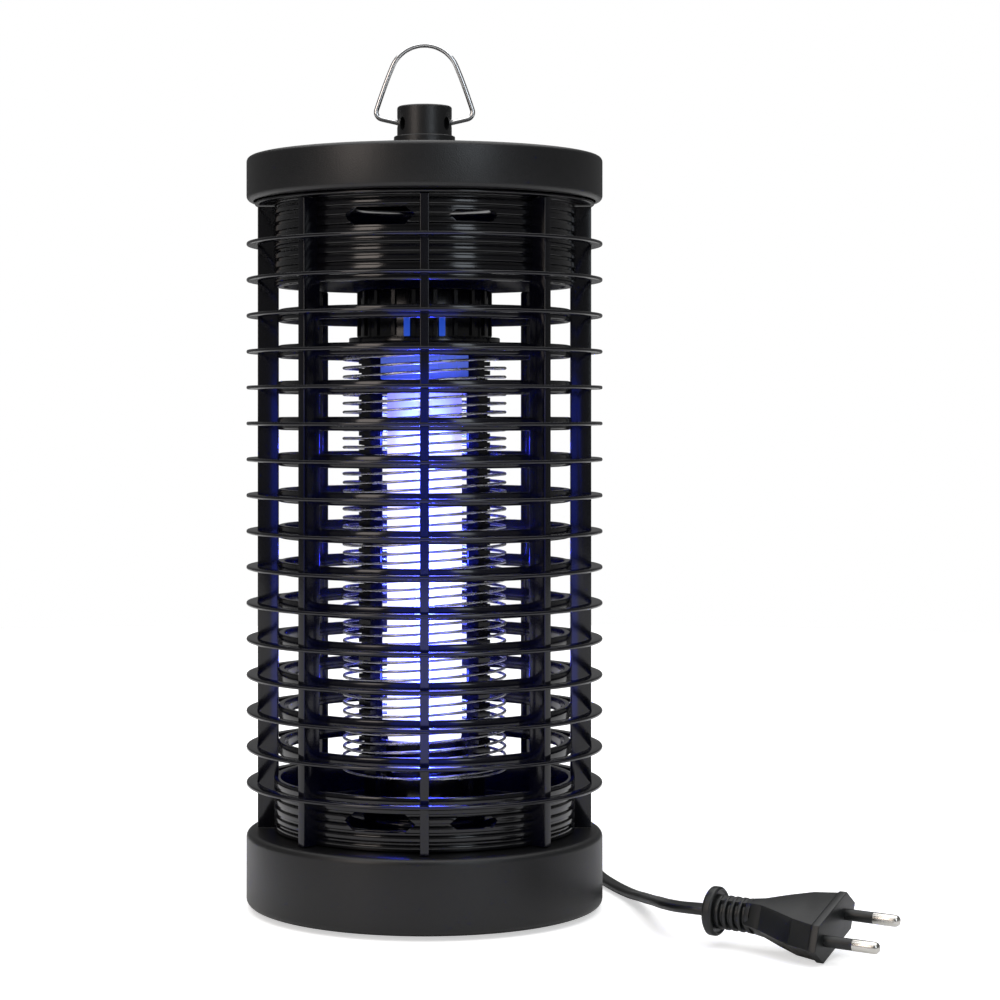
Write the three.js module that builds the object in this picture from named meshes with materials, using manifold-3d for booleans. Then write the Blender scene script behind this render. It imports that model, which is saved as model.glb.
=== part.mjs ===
// An electric bug zapper: a round base and cap joined by a cage of rings and ribs, with a lamp and a
// wire grid inside. Millimetres, +Z up. The origin is on the floor at the lantern's axis, the front is -Y.
import * as THREE from 'three';
import { mergeVertices } from 'three/addons/utils/BufferGeometryUtils.js';
import Module from 'manifold-3d';

const wasm = await Module();
wasm.setup();

// Driving dimensions
const BODY_R = 65;
const CLEARANCE = 0.3;
const WALL = 2.6;
const FOOT_H = 1.2;
const BASE_BOTTOM = FOOT_H + CLEARANCE;
const BASE_TOP = 28.2;
const RING_COUNT = 16;
const RING_PITCH = 13.07;
const LOWEST_RING_Z = 45.4;
const RING_INNER_R = 60.8;
const RING_HALF_H = 0.75;
const CORE_OUTER_R = 53.6;
const CORE_INNER_R = 51.2;
const CORE_HALF_H = 2.35;
const RIB_COUNT = 8;
const RIB_THICK = 3.1;
const COLLAR_R = 55;
const CAP_BOTTOM = 256.9;
const CAP_EDGE_Z = 272.8;
const DOME_Z = 278;
const BOSS_R = 10;
const BOSS_TOP = 292;
const BOSS_FLANGE_R = 11.2;
const BOSS_FLANGE_TOP = 281;
const PIVOT_Z = 286;
const WIRE_R = 0.9;
const GRID_R = 29.4;
const GRID_WIRE_R = 0.6;
const GRID_BOTTOM = 50;
const GRID_TOP = 202;
const GRID_PITCH = 6.42;
const GRID_PHASE_Z = 48.6;
const GRID_STEEPENING = 0.85;
const LAMP_TUBE_R = 6;
const LAMP_HALF_W = 7.7;
const LAMP_BOTTOM = 57;
const LAMP_TOP = 192;
const HOLDER_Z = 204.3;
const HOLDER_TOP = 224.5;
const HOLDER_R = 24;
const POST_OUTER_R = 27.6;
const POST_W = 6;
const POST_D = 2.4;
const CUP_R = 20.5;
const CUP_TOP = 62;
const CORD_R = 1.9;
const CORD_W = 5.4;
const CORD_Z = 2;
const COIL_CENTRE = [22, 134];
const COIL_R = 30;
const SEGMENTS = 32;
const DEG = Math.PI / 180;

const object = new THREE.Group();

const blackPlastic = { color: 0x0c0c0e, roughness: 0.32, metalness: 0 };
const satinPlastic = { color: 0x151516, roughness: 0.5, metalness: 0 };
const steel = { color: 0xc9c9cc, roughness: 0.25, metalness: 1 };
const rubber = { color: 0x101010, roughness: 0.8, metalness: 0 };
const glass = { color: 0xd8dcff, roughness: 0.15, metalness: 0, emissive: 0x8080ff };

// Merges a geometry's shared corners, drops flat triangles and turns its faces outwards.
function closed(geometry) {
  geometry.deleteAttribute('normal');
  geometry.deleteAttribute('uv');
  const merged = mergeVertices(geometry, 1e-4);
  const position = merged.getAttribute('position');
  const source = merged.getIndex().array;
  const corners = [0, 1, 2].map(() => new THREE.Vector3());
  const kept = [];
  let volume = 0;
  for (let i = 0; i < source.length; i += 3) {
    const ids = [source[i], source[i + 1], source[i + 2]];
    if (new Set(ids).size < 3) continue;
    ids.forEach((id, k) => corners[k].fromBufferAttribute(position, id));
    volume += corners[0].dot(corners[1].clone().cross(corners[2]));
    kept.push(...ids);
  }
  if (volume < 0) {
    kept.reverse();
  }
  merged.setIndex(kept);
  return merged;
}

function toSolid(geometry) {
  const mesh = closed(geometry);
  return new wasm.Manifold(new wasm.Mesh({
    numProp: 3,
    vertProperties: new Float32Array(mesh.getAttribute('position').array),
    triVerts: new Uint32Array(mesh.getIndex().array),
  }));
}

function toGeometry(solid) {
  const mesh = solid.getMesh();
  const geometry = new THREE.BufferGeometry();
  geometry.setAttribute('position', new THREE.BufferAttribute(mesh.vertProperties, 3));
  geometry.setIndex(new THREE.BufferAttribute(mesh.triVerts, 1));
  return geometry;
}

function join(...geometries) {
  const [first, ...others] = geometries.map(toSolid);
  return toGeometry(others.reduce((sum, solid) => sum.add(solid), first));
}

function cut(geometry, ...tools) {
  return toGeometry(tools.map(toSolid).reduce((rest, tool) => rest.subtract(tool), toSolid(geometry)));
}

function place(name, geometry, look, parent = object) {
  const mesh = new THREE.Mesh(closed(geometry), new THREE.MeshStandardMaterial(look));
  mesh.name = name;
  parent.add(mesh);
  return mesh;
}

// A turned shape: [radius, z] points from axis to axis, or a loop that closes on itself.
function turned(points, segments = SEGMENTS) {
  const profile = points.map(([r, z]) => new THREE.Vector2(r, z));
  return new THREE.LatheGeometry(profile, segments).rotateX(Math.PI / 2);
}

function band(innerR, outerR, bottom, top, segments = SEGMENTS) {
  const loop = [[innerR, bottom], [outerR, bottom], [outerR, top], [innerR, top], [innerR, bottom]];
  return turned(loop, segments);
}

function disc(radius, bottom, top, segments = SEGMENTS) {
  return turned([[0, bottom], [radius, bottom], [radius, top], [0, top]], segments);
}

function box(width, depth, height, x, y, z) {
  return new THREE.BoxGeometry(width, depth, height).translate(x, y, z);
}

function outline(points) {
  return new THREE.Shape(points.map(([x, y]) => new THREE.Vector2(x, y)));
}

function roundOutline(radius, sides) {
  const turn = (2 * Math.PI) / sides;
  const corner = (i) => [radius * Math.cos(i * turn), radius * Math.sin(i * turn)];
  return outline(Array.from({ length: sides }, (_, i) => corner(i)));
}

function tube(curve, radius, sides, steps) {
  return new THREE.ExtrudeGeometry(roundOutline(radius, sides), { extrudePath: curve, steps });
}

// A smooth curve through the given points.
function route(points) {
  const vectors = points.map(([x, y, z]) => new THREE.Vector3(x, y, z));
  return new THREE.CatmullRomCurve3(vectors, false, 'centripetal');
}

// Base: a shell open below, its bottom plate, three feet and the cord gland at the rear.
function makeBase() {
  place('base_shell', turned([
    [0, BASE_TOP - WALL], [BODY_R - WALL, BASE_TOP - WALL], [BODY_R - WALL, BASE_BOTTOM],
    [BODY_R - 0.8, BASE_BOTTOM], [BODY_R, BASE_BOTTOM + 0.8], [BODY_R, BASE_TOP - 1.4],
    [BODY_R - 0.4, BASE_TOP - 0.4], [BODY_R - 1.4, BASE_TOP], [0, BASE_TOP],
  ]), satinPlastic);
  place('bottom_plate', disc(BODY_R - WALL - 0.8, BASE_BOTTOM, BASE_BOTTOM + 2), satinPlastic);
  const footRing = 50;
  for (let i = 0; i < 3; i += 1) {
    const foot = place(`foot_${i + 1}`, disc(5, 0, FOOT_H, 12), rubber);
    foot.position.set(footRing * Math.sin(i * 120 * DEG), footRing * Math.cos(i * 120 * DEG), 0);
  }
  const glandLength = 24.4;
  const gland = new THREE.CylinderGeometry(3.4, 5.2, glandLength, 16);
  place('cord_gland', gland.translate(0, BODY_R + CLEARANCE + glandLength / 2, 6.5), rubber);
}

// Cage: outer rings, the inner rings between the collars, eight ribs and two slotted collars.
function ringZ(level) {
  return LOWEST_RING_Z + (RING_COUNT - level) * RING_PITCH;
}

function makeRings() {
  for (let level = 1; level <= RING_COUNT; level += 1) {
    const z = ringZ(level);
    const edge = RING_HALF_H - 0.2;
    place(`ring_${level}`, turned([
      [RING_INNER_R, z - RING_HALF_H], [BODY_R, z - edge], [BODY_R, z + edge],
      [RING_INNER_R, z + RING_HALF_H], [RING_INNER_R, z - RING_HALF_H],
    ]), blackPlastic);
  }
  for (let level = 3; level < RING_COUNT; level += 1) {
    const z = ringZ(level);
    const ring = band(CORE_INNER_R, CORE_OUTER_R, z - CORE_HALF_H, z + CORE_HALF_H, 24);
    place(`inner_ring_${level}`, ring, blackPlastic);
  }
}

const UPPER_COLLAR_BOTTOM = ringZ(2) - 2.6;
const LOWER_COLLAR_TOP = LOWEST_RING_Z + 2;
const FLANGE_R = 62;
const FLANGE_HOLE_R = 30;
const FLANGE_TOP = CAP_BOTTOM - CLEARANCE;
const FLANGE_BOTTOM = FLANGE_TOP - 1;
const UPPER_SLOT_Z = 248.3;
const LOWER_SLOT_Z = 38.4;

function makeRibs() {
  const outer = RING_INNER_R - CLEARANCE;
  const inner = CORE_OUTER_R + CLEARANCE;
  const stepped = COLLAR_R + CLEARANCE;
  const lowest = BASE_TOP + CLEARANCE;
  const highest = FLANGE_BOTTOM - CLEARANCE;
  const lowStep = LOWER_COLLAR_TOP + CLEARANCE;
  const highStep = UPPER_COLLAR_BOTTOM - CLEARANCE;
  const shape = outline([
    [stepped, lowest], [outer, lowest], [outer, highest], [stepped, highest],
    [stepped, highStep], [inner, highStep], [inner, lowStep], [stepped, lowStep],
  ]);
  for (let i = 0; i < RIB_COUNT; i += 1) {
    const geometry = new THREE.ExtrudeGeometry(shape, { depth: RIB_THICK, bevelEnabled: false });
    geometry.translate(0, 0, -RIB_THICK / 2).rotateX(Math.PI / 2);
    const rib = place(`rib_${i + 1}`, geometry, blackPlastic);
    rib.rotation.z = -Math.PI / 2 + (i * 2 * Math.PI) / RIB_COUNT;
  }
}

// A long slot with pointed ends, cut straight through a collar's wall.
function slot(angle, length, height, z) {
  const point = height * 0.6;
  const half = length / 2;
  const shape = outline([
    [-half, 0], [-half + point, -height / 2], [half - point, -height / 2],
    [half, 0], [half - point, height / 2], [-half + point, height / 2],
  ]);
  const cutter = new THREE.ExtrudeGeometry(shape, { depth: 16, bevelEnabled: false });
  return cutter.translate(0, 0, COLLAR_R - 10).rotateX(Math.PI / 2).translate(0, 0, z).rotateZ(angle * DEG);
}

// A long tall slot left of the middle and a short low one right of it, at each of the given turns.
function slots(z, turns) {
  return turns.flatMap((turn) => [slot(turn - 17, 26, 6.4, z), slot(turn + 18.5, 18, 4.2, z)]);
}

function makeCollars() {
  const inner = COLLAR_R - 3.5;
  const upper = turned([
    [inner, UPPER_COLLAR_BOTTOM], [COLLAR_R, UPPER_COLLAR_BOTTOM], [COLLAR_R, FLANGE_BOTTOM],
    [FLANGE_R, FLANGE_BOTTOM], [FLANGE_R, FLANGE_TOP], [FLANGE_HOLE_R, FLANGE_TOP],
    [FLANGE_HOLE_R, FLANGE_BOTTOM], [inner, FLANGE_BOTTOM], [inner, UPPER_COLLAR_BOTTOM],
  ]);
  place('upper_collar', cut(upper, ...slots(UPPER_SLOT_Z, [0, 180])), blackPlastic);
  const lower = band(COLLAR_R - 2.5, COLLAR_R, BASE_TOP + CLEARANCE, LOWER_COLLAR_TOP);
  place('lower_collar', cut(lower, ...slots(LOWER_SLOT_Z, [0])), blackPlastic);
}

// Cap: a low domed shell with a flanged boss, bored across for the bail's ends.
function makeCap() {
  const underside = CAP_EDGE_Z - 3;
  const shell = turned([
    [0, DOME_Z - 3], [40, underside + 2.6], [BODY_R - WALL, underside], [BODY_R - WALL, CAP_BOTTOM],
    [BODY_R, CAP_BOTTOM], [BODY_R, CAP_EDGE_Z - 3], [BODY_R - 0.9, CAP_EDGE_Z - 0.9],
    [BODY_R - 3, CAP_EDGE_Z], [40, CAP_EDGE_Z + 2.8], [BOSS_FLANGE_R, DOME_Z],
    [BOSS_FLANGE_R, BOSS_FLANGE_TOP], [BOSS_R, BOSS_FLANGE_TOP], [BOSS_R, BOSS_TOP - 0.8],
    [BOSS_R - 0.8, BOSS_TOP], [0, BOSS_TOP],
  ]);
  const bore = new THREE.CylinderGeometry(1.9, 1.9, 5, 16).rotateZ(Math.PI / 2);
  const holes = [-1, 1].map((side) => bore.clone().translate(side * 9, 0, PIVOT_Z));
  const oval = new THREE.CylinderGeometry(1.5, 1.5, 3, 12).rotateX(Math.PI / 2).scale(1, 1, 1.5);
  [54, 126, 234, 306].forEach((angle) => {
    holes.push(oval.clone().translate(0, -BOSS_R, 285.2).rotateZ(angle * DEG));
  });
  place('cap_shell', cut(shell, ...holes), satinPlastic);
}

// Bail: one bent wire, a round bow over two leaning legs, its ends turned into the boss.
function makeBail() {
  const bowR = 12.7;
  const lean = 20 * DEG;
  const bowZ = 301.7;
  const right = [
    [7.4, PIVOT_Z - 0.5], [12, PIVOT_Z + 0.6], [16.4, PIVOT_Z + 1.8], [18.2, PIVOT_Z + 3],
    [18.3, PIVOT_Z + 5], [17.5, PIVOT_Z + 8], [15.2, PIVOT_Z + 14],
  ];
  const bow = [];
  for (let angle = 20; angle <= 160; angle += 14) {
    bow.push([bowR * Math.cos(angle * DEG), bowZ + bowR * Math.sin(angle * DEG)]);
  }
  const legTop = [bowR * Math.cos(lean) + 0.4, bowZ + bowR * Math.sin(lean) - 1.2];
  const half = [...right, legTop];
  const points = [...half, ...bow, ...half.map(([x, z]) => [-x, z]).reverse()];
  place('bail', tube(route(points.map(([x, z]) => [x, 0, z])), WIRE_R, 8, 64), steel);
}

// Inside: the catch tray, the grid tower with the lamp holder on top, and the lamp.
function makeInside() {
  const trayBottom = BASE_TOP + CLEARANCE;
  place('catch_tray', turned([
    [0, trayBottom], [51.8, trayBottom], [51.8, trayBottom + 7], [50, trayBottom + 7],
    [50, trayBottom + 2], [0, trayBottom + 2],
  ]), blackPlastic);
  const towerBottom = trayBottom + 2 + CLEARANCE;
  const parts = [
    band(20, POST_OUTER_R, towerBottom, towerBottom + 3),
    disc(POST_OUTER_R, HOLDER_Z, HOLDER_Z + 3),
    disc(HOLDER_R, HOLDER_Z + 1, HOLDER_TOP),
    band(CUP_R - 3, CUP_R, towerBottom, CUP_TOP),
  ];
  const postHeight = HOLDER_Z + 1 - towerBottom;
  for (let i = 0; i < 4; i += 1) {
    const post = box(POST_W, POST_D, postHeight, 0, POST_OUTER_R - POST_D / 2, towerBottom + postHeight / 2);
    parts.push(post.rotateZ((45 + 90 * i) * DEG));
  }
  place('grid_tower', join(...parts), blackPlastic);
  const capHeight = HOLDER_Z - CLEARANCE - LAMP_TOP - CLEARANCE;
  place('lamp_cap', box(32, 20, capHeight, 0, 0, LAMP_TOP + CLEARANCE + capHeight / 2), {
    color: 0xe8e8f4, roughness: 0.4, metalness: 0,
  });
  const bendZ = LAMP_BOTTOM + LAMP_TUBE_R;
  const lamp = [-1, 1].flatMap((side) => {
    const leg = new THREE.CylinderGeometry(LAMP_TUBE_R, LAMP_TUBE_R, LAMP_TOP - bendZ, 16);
    const end = new THREE.SphereGeometry(LAMP_TUBE_R, 16, 8);
    return [
      leg.rotateX(Math.PI / 2).translate(side * LAMP_HALF_W, 0, (LAMP_TOP + bendZ) / 2),
      end.rotateX(Math.PI / 2).translate(side * LAMP_HALF_W, 0, bendZ),
    ];
  });
  const bridge = new THREE.CylinderGeometry(3.5, 3.5, 2 * LAMP_HALF_W, 10).rotateZ(Math.PI / 2);
  place('lamp_tube', join(...lamp, bridge.translate(0, 0, bendZ)), glass);
}

// Grid: two wires wound side by side, one to each pole. They run almost level past the sides and
// rise across the front and the rear, and each has a ring at one end.
class Helix extends THREE.Curve {
  constructor(start, bottom, top) {
    super();
    Object.assign(this, { start, bottom, top });
  }

  getPoint(t, target = new THREE.Vector3()) {
    const even = this.bottom + t * (this.top - this.bottom);
    const angle = this.start + ((even - GRID_PHASE_Z) * 2 * Math.PI) / GRID_PITCH;
    const z = even - (GRID_STEEPENING * GRID_PITCH * Math.sin(2 * angle)) / (4 * Math.PI);
    return target.set(GRID_R * Math.cos(angle), GRID_R * Math.sin(angle), z);
  }
}

function makeGrid() {
  const short = 3;
  const steps = Math.round((12 * (GRID_TOP - GRID_BOTTOM - short)) / GRID_PITCH);
  const wire = (start, bottom, top) => tube(new Helix(start, bottom, top), GRID_WIRE_R, 3, steps);
  const ring = (z) => band(GRID_R - GRID_WIRE_R, GRID_R + GRID_WIRE_R, z - GRID_WIRE_R, z + GRID_WIRE_R, 24);
  const live = wire(0, GRID_BOTTOM + short, GRID_TOP);
  const neutral = wire(Math.PI, GRID_BOTTOM, GRID_TOP - short);
  place('live_grid', join(ring(GRID_TOP), live), steel);
  place('neutral_grid', join(ring(GRID_BOTTOM), neutral), steel);
}

// Cord: a flat twin lead from the gland to a coil behind the base, then round the base to its plug.
const CORD_END = [96.4, -67.7, 11.5];
const PLUG_AXIS = new THREE.Vector3(0.849, -0.528, -0.021).normalize();
const PLUG_ROLL = 18;

function makeCord() {
  const out = route([
    [0, 90.2, 6.5], [-0.1, 93, 6.4], [-2.4, 98.3, 5.2], [-7, 104.8, 3.3], [-12.8, 112, 2.2],
    [-16.5, 120, CORD_Z], [-18.6, 128, CORD_Z], [-19.2, 134, CORD_Z],
  ]);
  place('cord_from_gland', tube(out, CORD_R, 8, 12), rubber);
  const round = route([
    [63.1, 134, 5.3], [63.1, 120, 4.4], [63.3, 104, 3], [63.8, 88, 2.2], [64.6, 72, CORD_Z],
    [65.8, 58, CORD_Z], [67.5, 44, CORD_Z], [70, 32, CORD_Z], [73.8, 18, CORD_Z], [76.8, 6, 2.6], [79, -6, 4],
    [80.7, -20, 5.8], [82, -33, 7.7], [82.9, -42, 8.9], [84.3, -51.2, 10.1], [87.6, -59.7, 11],
    [91.8, -64.8, 11.5], [94.6, -66.6, 11.53], CORD_END,
  ]);
  place('cord_to_plug', tube(round, CORD_R, 8, 30), rubber);
  const reach = COIL_R + 1.5 * CORD_W;
  const coil = place('cord_coil', band(COIL_R - 1.5 * CORD_W - 0.4, reach + 0.3, 0.1, 7.4, 24), rubber);
  coil.position.set(COIL_CENTRE[0], COIL_CENTRE[1], 0);
}

// Plug: collar, neck and a flared flat body with two round pins, lying on its near edge.
function makePlug() {
  const plug = new THREE.Group();
  const start = new THREE.Vector3(...CORD_END).addScaledVector(PLUG_AXIS, 2 * CLEARANCE);
  plug.position.copy(start);
  const side = new THREE.Vector3(0, 0, 1).cross(PLUG_AXIS).normalize();
  const up = PLUG_AXIS.clone().cross(side);
  plug.quaternion.setFromRotationMatrix(new THREE.Matrix4().makeBasis(PLUG_AXIS, side, up));
  plug.rotateX(PLUG_ROLL * DEG);
  const along = (radius, from, to) => {
    const cylinder = new THREE.CylinderGeometry(radius, radius, to - from, 16).rotateZ(-Math.PI / 2);
    return cylinder.translate((from + to) / 2, 0, 0);
  };
  const faceX = 45.3;
  const halfWidth = 17.65;
  const halfHeight = 6.85;
  const flare = [[15, 6.8], [21, 8.5], [27, 11.6], [36, 15.6], [faceX, halfWidth]];
  const plan = outline([...flare, ...flare.map(([x, y]) => [x, -y]).reverse()]);
  const flared = new THREE.ExtrudeGeometry(plan, { depth: 2 * halfHeight, bevelEnabled: false });
  const flat = 12.1;
  const section = outline([
    [-halfWidth, 0], [-flat, -halfHeight], [flat, -halfHeight],
    [halfWidth, 0], [flat, halfHeight], [-flat, halfHeight],
  ]);
  const hexagon = new THREE.ExtrudeGeometry(section, { depth: 60, bevelEnabled: false });
  hexagon.rotateX(Math.PI / 2).rotateZ(Math.PI / 2);
  const body = toSolid(flared.translate(0, 0, -halfHeight)).intersect(toSolid(hexagon));
  place('plug_body', join(along(8.3, 0, 4), along(6, 3, 17), toGeometry(body)), rubber, plug);
  [-1, 1].forEach((sign, i) => {
    const pin = along(2, faceX + CLEARANCE, faceX + 19).translate(0, sign * 9.25, 0);
    place(`plug_pin_${i + 1}`, pin, steel, plug);
  });
  object.add(plug);
}

makeBase();
makeRings();
makeRibs();
makeCollars();
makeCap();
makeBail();
makeInside();
makeGrid();
makeCord();
makePlug();

export default object;
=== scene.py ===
# %% [markdown]
# # An electric bug zapper
#
# The lantern is a round base and a round cap joined by a cage of thin rings on eight upright ribs. Inside
# stand a lit lamp and a grid of bare wires on four posts. A flat lead lies beside the base and ends in a
# flat plug. Each step makes one part, or a few that belong together, and says what they are on the real
# object and why they are modelled that way.

# %% Load the frame
import math

import bmesh
import bpy
from mathutils import Matrix, Vector


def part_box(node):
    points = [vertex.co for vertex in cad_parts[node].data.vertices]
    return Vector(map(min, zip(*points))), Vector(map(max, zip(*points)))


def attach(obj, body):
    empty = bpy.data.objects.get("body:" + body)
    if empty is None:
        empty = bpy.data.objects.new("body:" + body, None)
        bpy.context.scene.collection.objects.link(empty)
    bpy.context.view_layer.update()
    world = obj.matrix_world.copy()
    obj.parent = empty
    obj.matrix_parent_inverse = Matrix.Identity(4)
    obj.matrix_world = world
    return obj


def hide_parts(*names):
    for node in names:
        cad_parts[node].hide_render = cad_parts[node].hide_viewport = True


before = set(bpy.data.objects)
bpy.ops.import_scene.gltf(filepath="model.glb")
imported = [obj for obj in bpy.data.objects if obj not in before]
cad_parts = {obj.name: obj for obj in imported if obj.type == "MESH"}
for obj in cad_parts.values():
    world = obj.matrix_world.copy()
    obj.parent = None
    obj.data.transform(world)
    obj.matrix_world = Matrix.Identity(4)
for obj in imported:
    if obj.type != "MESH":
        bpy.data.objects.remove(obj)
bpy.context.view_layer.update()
MM = 0.001

# %% [markdown]
# ## The camera
#
# A level camera with a long lens stands in front of the lantern, a little above its middle. Shifting the
# lens places the lantern left of centre without tilting it, so its sides stay upright.

# %% Camera
CAMERA_DISTANCE = 0.920
CAMERA_HEIGHT = 0.181
camera_data = bpy.data.cameras.new("camera")
camera_data.lens = 90.5
camera_data.sensor_width = 36
camera_data.shift_x = 0.0755
camera_data.shift_y = -0.09
camera = bpy.data.objects.new("camera", camera_data)
camera.location = (0, -CAMERA_DISTANCE, CAMERA_HEIGHT)
camera.rotation_euler = (math.radians(90), 0, 0)
bpy.context.scene.collection.objects.link(camera)
bpy.context.scene.camera = camera

# %% [markdown]
# ## Small helpers
#
# Most pieces are turned or moulded, so they start from a profile whose corners are rounded. A helper
# rounds the corners, another spins a profile about the upright axis, and a third turns a finished bmesh
# into an object that sits at the origin with its place in its mesh.


# %% Profiles
def softened(corners, steps=4):
    """A profile of (radius, z, fillet) corners as plain points, with an arc of that fillet at each corner."""
    points = []
    for i, (radius, z, fillet) in enumerate(corners):
        here = Vector((radius, z))
        if not fillet:
            points.append(here)
            continue
        before = (Vector(corners[i - 1][:2]) - here).normalized()
        after = (Vector(corners[(i + 1) % len(corners)][:2]) - here).normalized()
        half = before.angle(after) / 2
        centre = here + (before + after).normalized() * fillet / math.sin(half)
        first = here + before * fillet / math.tan(half) - centre
        last = here + after * fillet / math.tan(half) - centre
        turn = first.angle(last)
        for k in range(steps + 1):
            weight = math.sin(turn * k / steps)
            rest = math.sin(turn * (1 - k / steps))
            points.append(centre + (first * rest + last * weight) / math.sin(turn))
    return points


def spin(bm, points, steps=128, closed=True):
    """Spins a profile of (radius, z) points in millimetres once round the Z axis, inside bm."""
    verts = [bm.verts.new((radius * MM, 0, z * MM)) for radius, z in points]
    pairs = list(zip(verts, verts[1:]))
    if closed:
        pairs.append((verts[-1], verts[0]))
    edges = [bm.edges.new(pair) for pair in pairs]
    bmesh.ops.spin(
        bm, geom=verts + edges, axis=(0, 0, 1), cent=(0, 0, 0), steps=steps, angle=2 * math.pi, use_merge=True
    )


def spin_at(bm, points, steps, place):
    """Spins an open profile inside bm, and moves what that made by a matrix."""
    before = set(bm.verts)
    spin(bm, points, steps, closed=False)
    fresh = [v for v in bm.verts if v not in before]
    bmesh.ops.transform(bm, matrix=place, verts=fresh)


def rod(bm, radius, length, place):
    """A plain cylinder that lies along Z before a matrix places it. Its size is in millimetres."""
    bmesh.ops.create_cone(
        bm, cap_ends=True, segments=32, radius1=radius * MM, radius2=radius * MM, depth=length * MM,
        matrix=place
    )


def block(bm, size, centre, turn=None):
    """A box of the given size and centre in millimetres, and turned by a matrix if one is given."""
    place = Matrix.Translation(Vector(centre) * MM)
    place = place @ Matrix.Diagonal((size[0] * MM, size[1] * MM, size[2] * MM, 1))
    if turn is not None:
        place = turn @ place
    return bmesh.ops.create_cube(bm, size=1, matrix=place)["verts"]


def soften_edges(bm, width, segments=2, angle=30):
    """Bevels the edges that are sharper than the given angle."""
    sharp = [e for e in bm.edges if len(e.link_faces) == 2 and e.calc_face_angle(0) > math.radians(angle)]
    bmesh.ops.bevel(
        bm, geom=sharp, offset=width * MM, affect="EDGES", segments=segments, profile=0.5, material=-1,
        clamp_overlap=True
    )


def span(node):
    """A node's lowest and highest corner in millimetres."""
    low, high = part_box(node)
    return low / MM, high / MM


# %% Objects from meshes
def to_object(name, bm):
    """A finished bmesh as a new object of the scene. The bmesh is used up."""
    mesh = bpy.data.meshes.new(name)
    bm.to_mesh(mesh)
    bm.free()
    obj = bpy.data.objects.new(name, mesh)
    bpy.context.scene.collection.objects.link(obj)
    return obj


def add_shape(bm, obj):
    """Adds an object's mesh, as its modifiers or its curve make it, to bm and removes the object."""
    graph = bpy.context.evaluated_depsgraph_get()
    mesh = bpy.data.meshes.new_from_object(obj.evaluated_get(graph), depsgraph=graph)
    bm.from_mesh(mesh)
    bpy.data.meshes.remove(mesh)
    bpy.data.objects.remove(obj, do_unlink=True)
    return bm


def cut(solid, cutter):
    """One bmesh cut by another with the Boolean modifier. Both are used up, and the result is a new bmesh."""
    body = to_object("body", solid)
    tool = to_object("tool", cutter)
    modifier = body.modifiers.new("cut", "BOOLEAN")
    modifier.object = tool
    modifier.solver = "EXACT"
    result = add_shape(bmesh.new(), body)
    bpy.data.objects.remove(tool, do_unlink=True)
    return result


def piece(name, bm, material, body, replaces=(), sharp=35):
    """A finished piece: merged, facing outwards, smooth up to the given angle, riding on its body."""
    bmesh.ops.remove_doubles(bm, verts=bm.verts, dist=1e-6)
    bmesh.ops.recalc_face_normals(bm, faces=bm.faces)
    obj = to_object(name, bm)
    obj.data.materials.append(material)
    obj.data.shade_smooth()
    obj.data.set_sharp_from_angle(angle=math.radians(sharp))
    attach(obj, body)
    if replaces:
        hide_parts(*replaces)
    print(name, len(obj.data.polygons), "faces")
    return obj


# %% [markdown]
# ## Plastic, wire and rubber
#
# The cap and base are spark-textured ABS, and the cage is the same resin from a polished mould. Both have
# tiny grain and faint patches where the surface was handled. One node group makes the grain and the
# patches, and each material chooses their size and how far they change its colour, roughness and bump.


# %% The shared skin group
def make_skin_group():
    tree = bpy.data.node_groups.new("moulded skin", "ShaderNodeTree")
    for label, default in (("Grain Scale", 1500.0), ("Patch Scale", 20.0)):
        socket = tree.interface.new_socket(label, in_out="INPUT", socket_type="NodeSocketFloat")
        socket.default_value = default
    for label in ("Grain", "Patches"):
        tree.interface.new_socket(label, in_out="OUTPUT", socket_type="NodeSocketFloat")
    entry = tree.nodes.new("NodeGroupInput")
    leave = tree.nodes.new("NodeGroupOutput")
    place = tree.nodes.new("ShaderNodeTexCoord")
    for label, detail in (("Grain", 1.0), ("Patches", 5.0)):
        noise = tree.nodes.new("ShaderNodeTexNoise")
        noise.inputs["Detail"].default_value = detail
        source = "Grain Scale" if label == "Grain" else "Patch Scale"
        tree.links.new(place.outputs["Object"], noise.inputs["Vector"])
        tree.links.new(entry.outputs[source], noise.inputs["Scale"])
        tree.links.new(noise.outputs["Fac"], leave.inputs[label])
    return tree


skin_group = make_skin_group()


# %% Finishes
def finish(name, dark, light, smoothest, roughest, grain, patches, depth, metallic=0.0, coat=0.0):
    """A material whose colour and roughness drift between two values, over a fine grain of a given depth."""
    material = bpy.data.materials.new(name)
    material.use_nodes = True
    nodes = material.node_tree.nodes
    links = material.node_tree.links
    shader = nodes["Principled BSDF"]
    shader.inputs["Metallic"].default_value = metallic
    shader.inputs["Coat Weight"].default_value = coat
    shader.inputs["Coat Roughness"].default_value = 0.08
    skin = nodes.new("ShaderNodeGroup")
    skin.node_tree = skin_group
    skin.inputs["Grain Scale"].default_value = grain
    skin.inputs["Patch Scale"].default_value = patches
    tint = nodes.new("ShaderNodeMix")
    tint.data_type = "RGBA"
    factor, first, second = (tint.inputs[i] for i in (0, 6, 7))
    first.default_value = (*dark, 1)
    second.default_value = (*light, 1)
    links.new(skin.outputs["Patches"], factor)
    links.new(tint.outputs[2], shader.inputs["Base Color"])
    spread = nodes.new("ShaderNodeMapRange")
    spread.inputs["From Min"].default_value = 0.3
    spread.inputs["From Max"].default_value = 0.7
    spread.inputs["To Min"].default_value = smoothest
    spread.inputs["To Max"].default_value = roughest
    links.new(skin.outputs["Patches"], spread.inputs["Value"])
    links.new(spread.outputs["Result"], shader.inputs["Roughness"])
    bump = nodes.new("ShaderNodeBump")
    bump.inputs["Distance"].default_value = depth * MM
    bump.inputs["Strength"].default_value = 0.6
    links.new(skin.outputs["Grain"], bump.inputs["Height"])
    links.new(bump.outputs["Normal"], shader.inputs["Normal"])
    return material


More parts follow.
